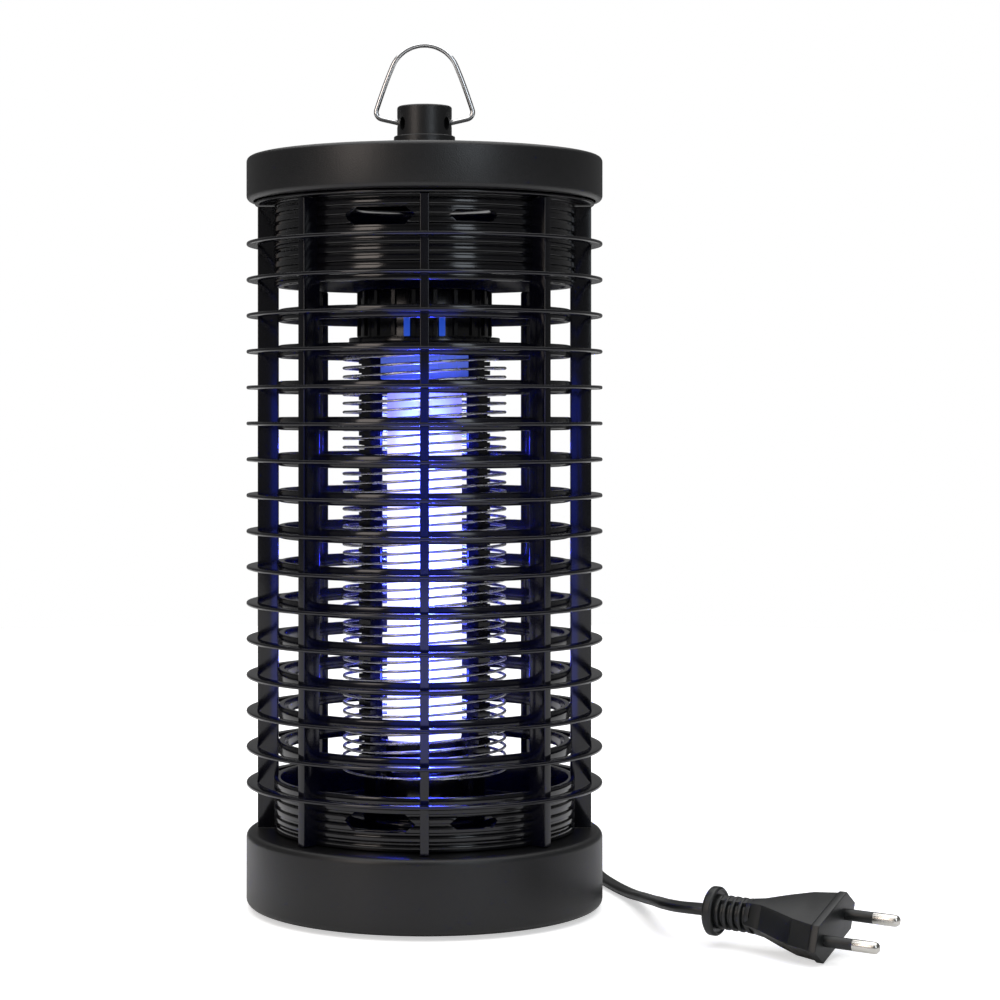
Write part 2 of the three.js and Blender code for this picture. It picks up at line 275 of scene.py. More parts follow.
satin_abs = finish("satin ABS", (0.004, 0.004, 0.0045), (0.008, 0.008, 0.009), 0.34, 0.44, 2200, 14, 0.10)
gloss_abs = finish("gloss ABS", (0.002, 0.002, 0.003), (0.004, 0.004, 0.006), 0.10, 0.18, 900, 22, 0.012)
bail_steel = finish("bail steel", (0.72, 0.72, 0.73), (0.80, 0.80, 0.80), 0.16, 0.22, 2600, 60, 0.002, 1.0)
grid_steel = finish("grid steel", (0.62, 0.62, 0.64), (0.78, 0.78, 0.80), 0.16, 0.30, 2200, 140, 0.01, 1.0)
foot_rubber = finish("foot rubber", (0.012, 0.012, 0.012), (0.02, 0.02, 0.02), 0.6, 0.8, 1200, 60, 0.08)
cord_pvc = finish("cord PVC", (0.004, 0.005, 0.005), (0.008, 0.009, 0.009), 0.32, 0.46, 1300, 40, 0.04)
pin_nickel = finish("pin nickel", (0.58, 0.56, 0.52), (0.70, 0.68, 0.64), 0.18, 0.3, 3000, 200, 0.006, 1.0)

# %% [markdown]
# ## The lead
#
# A flat two-core lead leaves the base at the rear through a tapered sleeve, is wound up behind it and
# comes forward past the right side to its plug. Its place comes first, because the coil and the plug
# depend on it. A smooth curve runs through the points listed below, and the coil's turns come from a loop:
# five and a half turns in two layers, three beside each other below and then back out on top.

# %% The lead's route
CORD_WIDTH = 5.4
CORD_THICK = 3.4
FLOOR_Z = 2.0
TOP_Z = 5.3
COIL_CENTRE = Vector((22, 134, 0))
COIL_RADII = (41.2, 35.6, 30.0, 24.4, 24.4, 30.0, 35.6, 41.1)
COIL_STEPS = 24
COIL_TURNS = 5.5
CLIMB_START = 2.7
CLIMB_LENGTH = 0.35


def eased(t):
    """A value between 0 and 1 that starts and stops gently."""
    return t * t * (3 - 2 * t)


def coil_point(turn):
    """A point of the coil after so many turns. Each new radius is reached in a small part of a turn."""
    starts = (0, 1, 2, 2.75, 3.75, 4.5, 5.1)
    lengths = (0.25, 0.25, 0.25, 0.3, 0.3, 0.3, 0.4)
    radius = COIL_RADII[0]
    for start, length, target in zip(starts, lengths, COIL_RADII[1:]):
        radius += (target - radius) * eased(min(max((turn - start) / length, 0), 1))
    z = FLOOR_Z + (TOP_Z - FLOOR_Z) * eased(min(max((turn - CLIMB_START) / CLIMB_LENGTH, 0), 1))
    angle = math.pi - 2 * math.pi * turn
    return COIL_CENTRE + Vector((radius * math.cos(angle), radius * math.sin(angle), z))


from_gland = [
    (0, 90.2, 6.5), (-0.1, 93, 6.4), (-2.4, 98.3, 5.2), (-7, 104.8, 3.3), (-12.8, 112, 2.2),
    (-16.5, 120, FLOOR_Z), (-18.6, 128, FLOOR_Z),
]
coil = [coil_point(k / COIL_STEPS) for k in range(int(COIL_TURNS * COIL_STEPS) + 1)]
to_plug = [
    (63.1, 120, 4.4), (63.3, 104, 3), (63.8, 88, 2.2), (64.6, 72, FLOOR_Z), (65.8, 58, FLOOR_Z),
    (67.5, 44, FLOOR_Z), (70, 32, FLOOR_Z), (73.8, 18, FLOOR_Z), (76.8, 6, 2.6), (79, -6, 4),
    (80.7, -20, 5.8), (82, -33, 7.7), (82.9, -42, 8.9), (84.3, -51.2, 10.1), (87.6, -59.7, 11),
    (91.8, -64.8, 11.5), (94.6, -66.6, 11.53), (96.4, -67.7, 11.5),
]


def curve_object(name, points, tilts=None):
    """A smooth curve through points given in millimetres, whose width stays level unless it is tilted."""
    data = bpy.data.curves.new(name, "CURVE")
    data.dimensions = "3D"
    data.twist_mode = "Z_UP"
    data.resolution_u = 6
    spline = data.splines.new("BEZIER")
    spline.bezier_points.add(len(points) - 1)
    for i, (knot, point) in enumerate(zip(spline.bezier_points, points)):
        knot.co = Vector(point) * MM
        knot.handle_left_type = knot.handle_right_type = "AUTO"
        if tilts:
            knot.tilt = tilts[i]
    obj = bpy.data.objects.new(name, data)
    bpy.context.scene.collection.objects.link(obj)
    return obj


def line_of(obj):
    """The points that a curve without thickness runs through, in metres."""
    evaluated = obj.evaluated_get(bpy.context.evaluated_depsgraph_get())
    points = [vertex.co.copy() for vertex in evaluated.to_mesh().vertices]
    evaluated.to_mesh_clear()
    return points


route = [Vector(p) for p in from_gland] + coil + [Vector(p) for p in to_plug]
PLUG_ROLL = math.radians(18)
ROLLED_KNOTS = 8
tilts = [0.0] * (len(route) - ROLLED_KNOTS)
tilts += [PLUG_ROLL * eased((k + 1) / ROLLED_KNOTS) for k in range(ROLLED_KNOTS)]
lead_curve = curve_object("lead line", route, tilts)
lead_line = line_of(lead_curve)

# %% [markdown]
# The section is two round cores side by side under one skin, so it has a shallow groove along each flat
# side. A closed curve of that shape is swept along the route, and the sweep is turned into a mesh.

# %% The lead's flat section
section_data = bpy.data.curves.new("lead section", "CURVE")
section_data.dimensions = "2D"
SECTION_SIDES = 28
section = section_data.splines.new("POLY")
section.points.add(SECTION_SIDES - 1)
for k, knot in enumerate(section.points):
    angle = 2 * math.pi * k / SECTION_SIDES
    side = CORD_THICK / 2 * (0.78 + 0.22 * abs(math.cos(angle)) ** 0.5)
    across = CORD_THICK / 2 * math.cos(angle) + math.copysign((CORD_WIDTH - CORD_THICK) / 2, math.cos(angle))
    knot.co = (across * MM, side * math.sin(angle) * MM, 0, 1)
section.use_cyclic_u = True
section_object = bpy.data.objects.new("lead section", section_data)
bpy.context.scene.collection.objects.link(section_object)
lead_curve.data.bevel_mode = "OBJECT"
lead_curve.data.bevel_object = section_object
lead_curve.data.use_fill_caps = True
bm = add_shape(bmesh.new(), lead_curve)
bpy.data.objects.remove(section_object, do_unlink=True)
lead = piece(
    "lead", bm, cord_pvc, "base", ("cord_from_gland", "cord_to_plug", "cord_coil"), sharp=50
)

# %% [markdown]
# The sleeve at the rear keeps the lead from kinking where it leaves the base. It tapers and has grooves,
# so that it bends a little more at each step outwards.

# %% The sleeve at the base
low, high = span("cord_gland")
GROOVES = 5
SLEEVE_R = 5.2
start, end = low.y, high.y
profile = [(0, start, 0), (SLEEVE_R, start, 0.4), (SLEEVE_R, start + 4, 0.4)]
for k in range(GROOVES):
    near = start + 6 + 3 * k
    radius = 5 - 0.28 * k
    profile += [(radius - 0.9, near - 1.6, 0.2), (radius - 0.9, near - 0.6, 0.2), (radius, near, 0.3)]
    profile += [(radius - 0.1, near + 0.9, 0.3)]
profile += [(3.5, end, 0.4), (0, end, 0)]
bm = bmesh.new()
spin(bm, softened(profile, 2), 40, closed=False)
lift = Matrix.Translation((0, 0, (low.z + high.z) / 2 * MM)) @ Matrix.Rotation(-math.pi / 2, 4, "X")
bmesh.ops.transform(bm, matrix=lift, verts=bm.verts)
gland = piece("lead_sleeve", bm, cord_pvc, "base", ("cord_gland",))

# %% [markdown]
# ## The plug
#
# The flat two-pin plug lies on its near edge, held up by its round collar. It is modelled along the X
# axis and then placed. Collar and neck are turned, and the body is bridged between hexagonal sections
# that widen towards the pins. The sloped sides carry a sunk grip panel.

# %% The plug's place
PLUG_AXIS = Vector((0.849, -0.528, -0.021)).normalized()
sideways = Vector((0, 0, 1)).cross(PLUG_AXIS).normalized()
upwards = PLUG_AXIS.cross(sideways)
plug_turn = Matrix((PLUG_AXIS, sideways, upwards)).transposed().to_4x4()
plug_start = route[-1] + 0.6 * PLUG_AXIS
plug_place = Matrix.Translation(plug_start * MM) @ plug_turn @ Matrix.Rotation(PLUG_ROLL, 4, "X")
TO_X = Matrix.Rotation(math.pi / 2, 4, "Y")
FACE_X = 45.3
PIN_SPACING = 18.5
SLOPE_WIDTH = 5.55
LEAST_FLAT = 1.6


def spin_along_x(bm, corners, steps=48, sideways_by=0.0):
    """Spins (radius, distance, fillet) corners about the plug's own axis, or a line beside it."""
    spin_at(bm, softened(corners, 3), steps, Matrix.Translation((0, sideways_by * MM, 0)) @ TO_X)


# %% Plug body
bm = bmesh.new()
loops = []
for along, half_width, half_height in (
    (14.5, 6.2, 5.6), (20, 8.0, 6.1), (27, 11.4, 6.6), (34.5, 15.0, 6.8), (42.4, 17.0, 6.6),
    (42.7, 17.65, 6.85), (FACE_X, 17.65, 6.85)
):
    flat = max(half_width - SLOPE_WIDTH, LEAST_FLAT)
    outline = [(flat, half_height), (half_width, 0), (flat, -half_height)]
    outline += [(-y, z) for y, z in reversed(outline)]
    verts = [bm.verts.new((along * MM, y * MM, z * MM)) for y, z in outline]
    loops.append([bm.edges.new((verts[i], verts[(i + 1) % 6])) for i in range(6)])
for near, far in zip(loops, loops[1:]):
    bmesh.ops.bridge_loops(bm, edges=near + far)
for loop in (loops[0], loops[-1]):
    bmesh.ops.edgeloop_fill(bm, edges=loop)
bmesh.ops.recalc_face_normals(bm, faces=bm.faces)
for side in (-1, 1):
    for half in (-1, 1):
        grip = []
        for face in bm.faces:
            middle = face.calc_center_median() / MM
            slanted = abs(face.normal.y) > 0.35 and abs(face.normal.x) < 0.6
            if slanted and 20 < middle.x < 34.5 and middle.y * side > 0 and middle.z * half > 0:
                grip.append(face)
        bmesh.ops.inset_region(bm, faces=grip, thickness=0.6 * MM, depth=-0.3 * MM, use_even_offset=True)
soften_edges(bm, 0.9, 4, 28)
collar = [
    (0, 0.3, 0), (3.4, 0.3, 0.3), (7.2, 0, 0.4), (8.3, 0.8, 0.7), (8.3, 3.0, 0.7), (7.5, 4, 0.4),
    (6.9, 3.2, 0.3), (0, 3.2, 0),
]
spin_along_x(bm, collar)
neck = [(0, 3.0, 0), (5.7, 3.0, 0)]
for start in (5.2, 7.9, 10.6, 13.3):
    neck += [(5.8, start, 0.3), (4.4, start + 0.2, 0.2), (4.4, start + 1.3, 0.2), (5.8, start + 1.5, 0.3)]
neck += [(5.9, 16.5, 0), (0, 16.5, 0)]
spin_along_x(bm, neck)
for side in (-1, 1):
    block(bm, (11.5, 3.2, 1.2), (10, 0, side * 4.9))
bmesh.ops.transform(bm, matrix=plug_place, verts=bm.verts)
plug = piece("plug", bm, cord_pvc, "base", ("plug_body",), sharp=40)

# %% Plug pins
bm = bmesh.new()
for side in (-1, 1):
    sleeve = [(0, FACE_X - 0.5, 0), (1.95, FACE_X - 0.5, 0), (1.95, FACE_X + 10, 0.2), (0, FACE_X + 10, 0)]
    spin_along_x(bm, sleeve, 32, side * PIN_SPACING / 2)
bmesh.ops.transform(bm, matrix=plug_place, verts=bm.verts)
piece("pin_sleeves", bm, cord_pvc, "base")
for number, side in ((1, -1), (2, 1)):
    bm = bmesh.new()
    tip = [(0, FACE_X + 9.9, 0), (2, FACE_X + 9.9, 0.1), (2, FACE_X + 19, 1.7), (0, FACE_X + 19, 0)]
    spin_along_x(bm, tip, 32, side * PIN_SPACING / 2)
    bmesh.ops.transform(bm, matrix=plug_place, verts=bm.verts)
    pin = piece(f"pin_{number}", bm, pin_nickel, "base", (f"plug_pin_{number}",))

# %% [markdown]
# ## The cage
#
# In life the cage is one moulding: thin flat rings outside eight upright ribs, and taller rings inside
# them. The rings are spun from a rounded section, one at each height that the frame gives, and the ribs
# are flat outlines given a thickness. Rings and ribs run a hair into each other, so that they read as one
# moulding.

# %% Outer rings
ring_names = [f"ring_{level}" for level in range(1, 17)]
RING_INNER_R = 60.7
RING_STEPS = 160
bm = bmesh.new()
for name in ring_names:
    low, high = span(name)
    section_corners = [
        (RING_INNER_R, low.z, 0.2), (high.x, low.z + 0.1, 0.55), (high.x, high.z - 0.1, 0.55),
        (RING_INNER_R, high.z, 0.2),
    ]
    spin(bm, softened(section_corners, 3), RING_STEPS)
piece("cage_rings", bm, gloss_abs, "cage", ring_names, sharp=50)

# %% Inner rings
inner_names = [f"inner_ring_{level}" for level in range(3, 16)]
CORE_WALL = 2.4
CORE_STEPS = 128
bm = bmesh.new()
for name in inner_names:
    low, high = span(name)
    inner_r = high.x - CORE_WALL
    section_corners = [
        (inner_r, low.z, 0.3), (high.x, low.z, 0.9), (high.x, high.z, 0.9), (inner_r, high.z, 0.3),
    ]
    spin(bm, softened(section_corners, 3), CORE_STEPS)
piece("cage_inner_rings", bm, gloss_abs, "cage", inner_names, sharp=50)


# %% Ribs
def prism(bm, outline, back, front):
    """An (x, z) outline made solid between two places along Y, in millimetres. Returns its corners."""
    verts = [bm.verts.new((x * MM, back * MM, z * MM)) for x, z in outline]
    face = bm.faces.new(verts)
    grown = bmesh.ops.extrude_face_region(bm, geom=[face])["geom"]
    moved = [v for v in grown if isinstance(v, bmesh.types.BMVert)]
    bmesh.ops.translate(bm, verts=moved, vec=(0, (front - back) * MM, 0))
    return verts + moved


RIB_COUNT = 8
RIB_THICK = 3.1
rib_low, rib_high = span("rib_3")
collar_r = span("lower_collar")[1].x
core_r = span("inner_ring_3")[1].x
low_step = span("lower_collar")[1].z
high_step = span("upper_collar")[0].z
OVERLAP = 0.25
GROOVE_DEPTH = 0.9
inner_x = core_r - OVERLAP
step_x = collar_r - GROOVE_DEPTH - OVERLAP
outer_x = RING_INNER_R + OVERLAP
bm = bmesh.new()
rib_outline = [
    (step_x, rib_low.z), (outer_x, rib_low.z), (outer_x, rib_high.z), (step_x, rib_high.z),
    (step_x, high_step - 0.1), (inner_x, high_step - 0.1), (inner_x, low_step + 0.1),
    (step_x, low_step + 0.1),
]
prism(bm, rib_outline, -RIB_THICK / 2, RIB_THICK / 2)
bmesh.ops.recalc_face_normals(bm, faces=bm.faces)
soften_edges(bm, 0.4, 3)
first_rib = list(bm.verts) + list(bm.edges) + list(bm.faces)
for i in range(1, RIB_COUNT):
    copy = bmesh.ops.duplicate(bm, geom=first_rib)["geom"]
    fresh = [v for v in copy if isinstance(v, bmesh.types.BMVert)]
    turn = Matrix.Rotation(i * 2 * math.pi / RIB_COUNT, 3, "Z")
    bmesh.ops.rotate(bm, verts=fresh, cent=(0, 0, 0), matrix=turn)
rib_names = [f"rib_{i + 1}" for i in range(RIB_COUNT)]
piece("cage_ribs", bm, gloss_abs, "cage", rib_names)

# %% [markdown]
# The two collars close the cage's ends. Their walls are ribbed all round, and long slots with pointed
# ends let the cap and the base lock on with a twist. The ribbed wall is one spun profile, and the slots
# are cut from it.

# %% Collars
RIDGE_PITCH = 3.27
UPPER_WALL = 3.5
LOWER_WALL = 2.5
UPPER_SLOT_Z = 248.3
LOWER_SLOT_Z = 38.4
FLANGE = 1.0
FLANGE_HOLE_R = 30
COLLAR_STEPS = 144
SLOTS = ((-17, 26, 6.4), (18.5, 18, 4.2))
CUTTER_OUTER_Y = -61
CUTTER_INNER_Y = -45


def ridges(radius, bottom, top):
    """The outer wall of a collar: rounded ridges with a narrow groove above each."""
    corners = []
    z = bottom
    while z + RIDGE_PITCH <= top:
        corners += [(radius, z + 0.2, 0.4), (radius, z + 2.2, 0.4)]
        corners += [(radius - GROOVE_DEPTH, z + 2.4, 0.1), (radius - GROOVE_DEPTH, z + RIDGE_PITCH, 0.1)]
        z += RIDGE_PITCH
    return corners + [(radius, z + 0.2, 0.3)]


def slot_cutters(z, turns):
    """The slots of a collar: a long tall one on the left and a short low one on the right of each turn."""
    bm = bmesh.new()
    for angle, length, height in SLOTS:
        half, point = length / 2, height * 0.6
        outline = [
            (-half, z), (point - half, z - height / 2), (half - point, z - height / 2),
            (half, z), (half - point, z + height / 2), (point - half, z + height / 2),
        ]
        for turn in turns:
            verts = prism(bm, outline, CUTTER_OUTER_Y, CUTTER_INNER_Y)
            spun = Matrix.Rotation(math.radians(angle + turn), 3, "Z")
            bmesh.ops.rotate(bm, verts=verts, cent=(0, 0, 0), matrix=spun)
    bmesh.ops.recalc_face_normals(bm, faces=bm.faces)
    return bm


def make_collar(name, node, corners, slot_z, turns):
    """Spins a collar's wall, cuts its slots and makes the piece."""
    bm = bmesh.new()
    spin(bm, softened(corners, 2), COLLAR_STEPS)
    bmesh.ops.recalc_face_normals(bm, faces=bm.faces)
    bm = cut(bm, slot_cutters(slot_z, turns))
    piece(name, bm, gloss_abs, "cage", (node,))


low, high = span("upper_collar")
inner_r = collar_r - UPPER_WALL
corners = [(inner_r, low.z, 0.3), *ridges(collar_r, low.z, high.z - FLANGE)]
corners += [
    (collar_r, high.z - FLANGE, 0), (high.x, high.z - FLANGE, 0.4), (high.x, high.z, 0.4),
    (FLANGE_HOLE_R, high.z, 0.4), (FLANGE_HOLE_R, high.z - FLANGE, 0.4), (inner_r, high.z - FLANGE, 0),
]
make_collar("upper_ribbed_collar", "upper_collar", corners, UPPER_SLOT_Z, (0, 180))

low, high = span("lower_collar")
inner_r = collar_r - LOWER_WALL
corners = [(inner_r, low.z, 0.2), *ridges(collar_r, low.z, high.z - 1)]
corners += [(collar_r, high.z, 0.5), (inner_r, high.z, 0.5)]
make_collar("lower_ribbed_collar", "lower_collar", corners, LOWER_SLOT_Z, (0,))

# %% [markdown]
# ## Cap and base
#
# Both are plain round mouldings with softened rims, so a spun profile with generous fillets gives the
# long soft highlights. The cap carries a boss with a flange, four oval holes and the two bores that hold
# the bail.

# %% Cap
low, high = span("cap_shell")
WALL = 2.6
EDGE_Z = low.z + 15.9
DOME_Z = EDGE_Z + 5.2
CROWN_R = 40
BOSS_R = 10.0
BOSS_FLANGE_R = BOSS_R + 1.2
BOSS_FLANGE_TOP = high.z - 11
RECESS_R = 7.4
BORE_R = 1.9
BORE_LENGTH = 5
BORE_X = 9
OVAL_R = 1.6
OVAL_DEPTH = 4
OVAL_Z = 285.2
OVAL_TURNS = (54, 126, 234, 306)
CAP_STEPS = 144
corners = [
    (0, DOME_Z - 3, 0), (CROWN_R, EDGE_Z - 0.4, 12), (high.x - WALL, EDGE_Z - 3, 1),
    (high.x - WALL, low.z, 0.3), (high.x, low.z, 2.0), (high.x, EDGE_Z, 1.7), (CROWN_R, EDGE_Z + 2.8, 60),
    (BOSS_FLANGE_R, DOME_Z, 0.5), (BOSS_FLANGE_R, BOSS_FLANGE_TOP, 0.4), (BOSS_R, BOSS_FLANGE_TOP, 0.2),
    (BOSS_R, high.z, 0.8), (RECESS_R, high.z, 0.3), (RECESS_R - 0.2, high.z - 0.7, 0.3),
    (0, high.z - 0.7, 0),
]
bm = bmesh.new()
spin(bm, softened(corners, 5), CAP_STEPS, closed=False)
bmesh.ops.remove_doubles(bm, verts=bm.verts, dist=1e-6)
bmesh.ops.recalc_face_normals(bm, faces=bm.faces)
PIVOT_Z = span("bail")[0].z + 1.4
holes = bmesh.new()
for side in (-1, 1):
    place = Matrix.Translation((side * BORE_X * MM, 0, PIVOT_Z * MM)) @ Matrix.Rotation(math.pi / 2, 4, "Y")
    rod(holes, BORE_R, BORE_LENGTH, place)
for angle in OVAL_TURNS:
    place = Matrix.Rotation(math.radians(angle), 4, "Z") @ Matrix.Translation((0, -BOSS_R * MM, OVAL_Z * MM))
    place = place @ Matrix.Diagonal((1, 1, 1.5, 1)) @ Matrix.Rotation(math.pi / 2, 4, "X")
    rod(holes, OVAL_R, OVAL_DEPTH, place)
bm = cut(bm, holes)
piece("cap", bm, satin_abs, "cap", ("cap_shell",), sharp=30)

# %% Base
low, high = span("base_shell")
corners = [
    (0, high.z - WALL, 0), (high.x - WALL, high.z - WALL, 1), (high.x - WALL, low.z, 0.2),
    (high.x, low.z, 2.2), (high.x, high.z, 2.4), (0, high.z, 0),
]
bm = bmesh.new()
spin(bm, softened(corners, 6), CAP_STEPS, closed=False)
piece("base", bm, satin_abs, "base", ("base_shell",), sharp=30)

# %% Underside
low, high = span("bottom_plate")
bm = bmesh.new()
corners = [(0, low.z, 0), (high.x, low.z, 0.5), (high.x, high.z, 0.3), (0, high.z, 0)]
spin(bm, softened(corners, 3), 128, closed=False)
plate_holes = bmesh.new()
VENT_COUNT = 9
VENT_SPACING = 5
for i in range(VENT_COUNT):
    x = (i - (VENT_COUNT - 1) / 2) * VENT_SPACING
    block(plate_holes, (2, 26, 6), (x, -14, low.z))
bmesh.ops.remove_doubles(bm, verts=bm.verts, dist=1e-6)
bmesh.ops.recalc_face_normals(bm, faces=bm.faces)
bm = cut(bm, plate_holes)
piece("vented_plate", bm, satin_abs, "base", ("bottom_plate",))

bm = bmesh.new()
SCREW_RING = 38.0
for i in range(3):
    centre = Matrix.Rotation(math.radians(60 + 120 * i), 4, "Z") @ Matrix.Translation((0, SCREW_RING * MM, 0))
    head = [(0, low.z + 0.4, 0), (2.9, low.z + 0.4, 0), (2.9, low.z - 0.1, 0.1), (1.6, low.z - 0.7, 0.5)]
    spin_at(bm, softened(head + [(0, low.z - 0.8, 0)], 2), 24, centre)
piece("plate_screws", bm, bail_steel, "base")

bm = bmesh.new()
for i in range(3):
    low, high = span(f"foot_{i + 1}")
    middle = (low + high) / 2
    foot = [(0, low.z, 0), (high.x - middle.x, low.z, 0.5), (high.x - middle.x, high.z + 0.4, 0.1)]
    place = Matrix.Translation((middle.x * MM, middle.y * MM, 0))
    spin_at(bm, softened(foot + [(0, high.z + 0.4, 0)], 3), 40, place)
piece("feet", bm, foot_rubber, "base", ("foot_1", "foot_2", "foot_3"))


# %% [markdown]
# ## Wires
#
# The bail is one bent steel wire, and the grid is two wires wound side by side, one to each pole. Each is a
# smooth curve given a round section, which is then turned into a mesh.

# %% Wires
def add_wire(bm, points, radius, sides=3, cyclic=False):
    """Adds a round wire through points given in millimetres to bm."""
    obj = curve_object("wire", points)
    obj.data.splines[0].use_cyclic_u = cyclic
    obj.data.bevel_depth = radius * MM
    obj.data.bevel_resolution = sides
    obj.data.use_fill_caps = True
    add_shape(bm, obj)


WIRE_R = 0.9
BOW_R = 12.7
LEAN = math.radians(20)
apex_z = PIVOT_Z + 15.7 + BOW_R / math.sin(LEAN)
bail_corners = [
    (7.4, PIVOT_Z - 0.5, 0), (18.5, PIVOT_Z + 2.05, 2.6), (0, apex_z, BOW_R), (-18.5, PIVOT_Z + 2.05, 2.6),
    (-7.4, PIVOT_Z - 0.5, 0),
]
bm = bmesh.new()
add_wire(bm, [(x, 0, z) for x, z in softened(bail_corners, 10)], WIRE_R, 4)
piece("wire_bail", bm, bail_steel, "bail", ("bail",), sharp=50)

# %% Grid
GRID_R = 29.4
GRID_WIRE_R = 0.55
GRID_PITCH = 6.42
GRID_PHASE_Z = 48.6
STEEPENING = 0.85
GRID_BOTTOM = 50.0
GRID_TOP = 202.0
SHORT = 3.0
STEPS = 16


def helix(start, bottom, top):
    """Points along one wire of the grid: almost level past the sides, and rising across front and rear."""
    count = int((top - bottom) / GRID_PITCH * STEPS)
    points = []
    for k in range(count + 1):
        even = bottom + (top - bottom) * k / count
        angle = start + (even - GRID_PHASE_Z) * 2 * math.pi / GRID_PITCH
        z = even - STEEPENING * GRID_PITCH * math.sin(2 * angle) / (4 * math.pi)
        points.append((GRID_R * math.cos(angle), GRID_R * math.sin(angle), z))
    return points


for name, start, bottom, top, ring_z in (
    ("live_grid", 0, GRID_BOTTOM + SHORT, GRID_TOP, GRID_TOP),
    ("neutral_grid", math.pi, GRID_BOTTOM, GRID_TOP - SHORT, GRID_BOTTOM),
):
    bm = bmesh.new()
    add_wire(bm, helix(start, bottom, top), GRID_WIRE_R, 2)
    circle = [k * math.pi / 12 for k in range(24)]
    add_wire(bm, [(GRID_R * math.cos(a), GRID_R * math.sin(a), ring_z) for a in circle], GRID_WIRE_R, 2, True)
    piece(name + "_wires", bm, grid_steel, "base", (name,), sharp=60)

# %% [markdown]
# ## Tower and tray
#
# Four posts carry the grid. Their outer faces are combs, with a tooth between each wire and the next, so
# the wires can't touch. The lamp holder sits on top of them, a cup round the lamp's foot stands between
# them, and a shallow tray below catches the insects.

# %% Tower
low, high = span("grid_tower")
POST_R = 27.6
PLATE_Z = 204.3
HOLDER_R = 24.0
POST_W = 6.0
POST_D = 2.4
CUP_R = 20.5
CUP_TOP = 62.0
CUP_WALL = 3
PLATE_THICK = 3
FOOT_RING_R = 20
bm = bmesh.new()
ring_top = low.z + PLATE_THICK
ring = [
    (FOOT_RING_R, low.z, 0.3), (POST_R, low.z, 0.3), (POST_R, ring_top, 0.5), (FOOT_RING_R, ring_top, 0.5),
]
spin(bm, softened(ring, 2), 96)
plate_top = PLATE_Z + PLATE_THICK
plate = [(0, PLATE_Z, 0), (POST_R, PLATE_Z, 0.4), (POST_R, plate_top, 0.4), (0, plate_top, 0)]
spin(bm, softened(plate, 2), 96, closed=False)
holder = [(0, PLATE_Z + 2, 0), (HOLDER_R, PLATE_Z + 2, 0), (HOLDER_R, high.z, 0.8), (0, high.z, 0)]
spin(bm, softened(holder, 3), 96, closed=False)
FLUTES = 20
for i in range(FLUTES):
    turn = Matrix.Rotation((i + 0.5) * 2 * math.pi / FLUTES, 4, "Z")
    block(bm, (1.4, 1.6, high.z - PLATE_Z - 4), (0, HOLDER_R, (plate_top + high.z) / 2), turn)
for i in range(4):
    facing = math.radians(45 + 90 * i)
    turn = Matrix.Rotation(facing, 4, "Z")
    height = PLATE_Z + 1 - low.z
    block(bm, (POST_W, POST_D, height), (0, POST_R - POST_D / 2, low.z + height / 2), turn)
    block(bm, (1.4, 2, height), (0, POST_R - POST_D - 0.8, low.z + height / 2), turn)
    angle = facing + math.pi / 2
    crossing = (angle / 2 - STEEPENING * math.sin(2 * angle) / 4) / math.pi * GRID_PITCH
    tooth_z = GRID_PHASE_Z + GRID_PITCH / 4 + crossing % (GRID_PITCH / 2)
    while tooth_z < GRID_TOP - 1:
        if tooth_z > GRID_BOTTOM + 1.5:
            block(bm, (POST_W, 3.4, 1.6), (0, POST_R + 1, tooth_z), turn)
        tooth_z += GRID_PITCH / 2
cup = [
    (CUP_R - CUP_WALL, low.z, 0), (CUP_R, low.z, 0), (CUP_R, CUP_TOP, 0.6), (CUP_R - CUP_WALL, CUP_TOP, 0.6),
]
spin(bm, softened(cup, 3), 96)
piece("tower", bm, gloss_abs, "base", ("grid_tower",))

# %% Tray
low, high = span("catch_tray")
TRAY_WALL = 1.8
TRAY_FLOOR = 2
corners = [
    (0, low.z, 0), (high.x, low.z, 0.6), (high.x, high.z, 0.6), (high.x - TRAY_WALL, high.z, 0.6),
    (high.x - TRAY_WALL, low.z + TRAY_FLOOR, 1.2), (0, low.z + TRAY_FLOOR, 0),
]
bm = bmesh.new()
spin(bm, softened(corners, 3), 128, closed=False)
piece("tray", bm, gloss_abs, "base", ("catch_tray",))

# %% [markdown]
# ## The lamp
#
# The lamp is a folded tube of two glass legs under one cap. Its phosphor glows white low down and
# lavender near the cap. The legs and the small bridge between them are remeshed into one skin. The glow
# is emission, and its colour follows the height on the tube. The plastic cap and the holder's windows
# glow too, but that is painted light: the lamp's glow on them, given as emission.


# %% Lamp glow
def glow(name, stops, strength, bottom, top):
    """A glowing material whose colour follows the height between two levels, given in millimetres."""
    material = bpy.data.materials.new(name)
    material.use_nodes = True
    nodes = material.node_tree.nodes
    links = material.node_tree.links
    shader = nodes["Principled BSDF"]
    shader.inputs["Roughness"].default_value = 0.2
    shader.inputs["Base Color"].default_value = (0.75, 0.78, 0.95, 1)
    shader.inputs["Emission Strength"].default_value = strength
    place = nodes.new("ShaderNodeTexCoord")
    split = nodes.new("ShaderNodeSeparateXYZ")
    level = nodes.new("ShaderNodeMapRange")
    level.inputs["From Min"].default_value = bottom * MM
    level.inputs["From Max"].default_value = top * MM
    ramp = nodes.new("ShaderNodeValToRGB")
    ramp.color_ramp.elements[0].position = stops[0][0]
    ramp.color_ramp.elements[0].color = (*stops[0][1], 1)
    ramp.color_ramp.elements[1].position = stops[-1][0]
    ramp.color_ramp.elements[1].color = (*stops[-1][1], 1)
    for position, colour in stops[1:-1]:
        ramp.color_ramp.elements.new(position).color = (*colour, 1)
    links.new(place.outputs["Object"], split.inputs["Vector"])
    links.new(split.outputs["Z"], level.inputs["Value"])
    links.new(level.outputs["Result"], ramp.inputs["Fac"])
    links.new(ramp.outputs["Color"], shader.inputs["Emission Color"])
    return material


